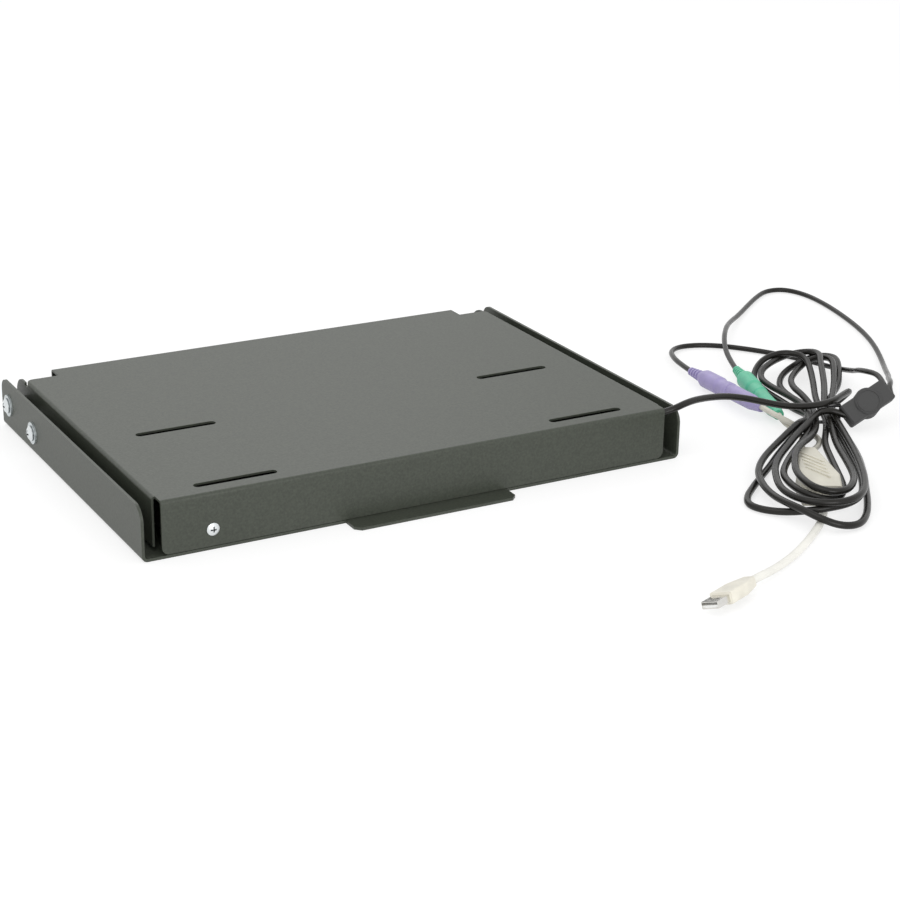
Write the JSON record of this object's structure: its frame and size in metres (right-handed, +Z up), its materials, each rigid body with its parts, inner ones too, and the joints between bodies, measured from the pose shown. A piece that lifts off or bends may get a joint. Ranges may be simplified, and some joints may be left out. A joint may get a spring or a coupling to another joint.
{
  "type": "wall-mount keyboard tray",
  "caption": "Fold-away steel keyboard tray with a pivoted wall bracket, a keyboard with touchpad, and a hanked lead ending in an adapter cable.",
  "frame": {"origin": "middle of the tray's footprint, on the underside of the pan", "axes": "+X along the front edge, +Y from the pull tab to the pivot, +Z up from the pan to the bracket"},
  "size_m": [0.7398, 0.5322, 0.0417],
  "materials": {
    "painted_steel": "dark grey powder coat, fine texture",
    "zinc_steel": "zinc plated",
    "bush_nylon": "moulded nylon",
    "catch_plastic": "moulded",
    "magnet": "bare ferrite",
    "case_plastic": "fine texture",
    "plate_steel": "bare",
    "key_plastic": "fine texture",
    "touch_plastic": "satin",
    "lens_plastic": "clear tint",
    "strip_foam": "adhesive foam",
    "black_lead": "satin jacket",
    "splitter_plastic": "moulded",
    "purple_plastic": "moulded",
    "green_plastic": "moulded",
    "beige_plastic": "moulded",
    "beige_lead": "satin jacket",
    "nickel": "nickel plated",
    "tongue_plastic": "moulded"
  },
  "bodies": {
    "tray": {"tray_pan": "painted_steel", "pivot_bolts": "zinc_steel", "stop_bolts": "zinc_steel", "head_washers": "zinc_steel", "inner_washers": "zinc_steel", "lock_nuts": "zinc_steel", "spacer_bushes": "bush_nylon", "keyboard_base": "case_plastic", "keyboard_top": "case_plastic", "lead_relief": "case_plastic", "key_plate": "plate_steel", "keys_bottom_row": "key_plastic", "keys_lower_row": "key_plastic", "keys_home_row": "key_plastic", "keys_upper_row": "key_plastic", "keys_number_row": "key_plastic", "keys_function_row": "key_plastic", "touchpad": "touch_plastic", "indicator_lenses": "lens_plastic", "holding_strips": "strip_foam", "keyboard_lead": "black_lead", "lead_hank": "black_lead", "hank_tie": "black_lead", "keyboard_tail": "black_lead", "mouse_tail": "black_lead", "splitter_block": "splitter_plastic", "keyboard_plug": "purple_plastic", "keyboard_socket": "purple_plastic", "mouse_plug": "green_plastic", "mouse_socket": "green_plastic", "adapter_body": "beige_plastic", "usb_moulding": "beige_plastic", "adapter_lead_first": "beige_lead", "adapter_lead_second": "beige_lead", "usb_lead": "beige_lead", "usb_shell": "nickel", "usb_tongue": "tongue_plastic"},
    "bracket": {"wall_bracket": "painted_steel", "catch_screw": "zinc_steel", "catch_block": "catch_plastic", "catch_magnet": "magnet"},
    "space_bar": {"space_bar": "key_plastic"},
    "touch_button_left": {"touch_button_left": "touch_plastic"},
    "touch_button_right": {"touch_button_right": "touch_plastic"}
  },
  "joints": [
    {"name": "bracket_pivot", "type": "hinge", "parent": "tray", "child": "bracket", "pos_m": [0, 0.132, 0.0198], "axis": [-1, 0, 0], "range_deg": [0, 90]},
    {"name": "space_bar_travel", "type": "slide", "parent": "tray", "child": "space_bar", "axis": [0, -0.0449, 0.999], "range_m": [-0.0025, 0], "stiffness_N_per_m": 150, "springref_m": 0.002},
    {"name": "left_button_travel", "type": "slide", "parent": "tray", "child": "touch_button_left", "axis": [0, -0.0449, 0.999], "range_m": [-0.0008, 0], "stiffness_N_per_m": 600, "springref_m": 0.0005},
    {"name": "right_button_travel", "type": "slide", "parent": "tray", "child": "touch_button_right", "axis": [0, -0.0449, 0.999], "range_m": [-0.0008, 0], "stiffness_N_per_m": 600, "springref_m": 0.0005}
  ]
}
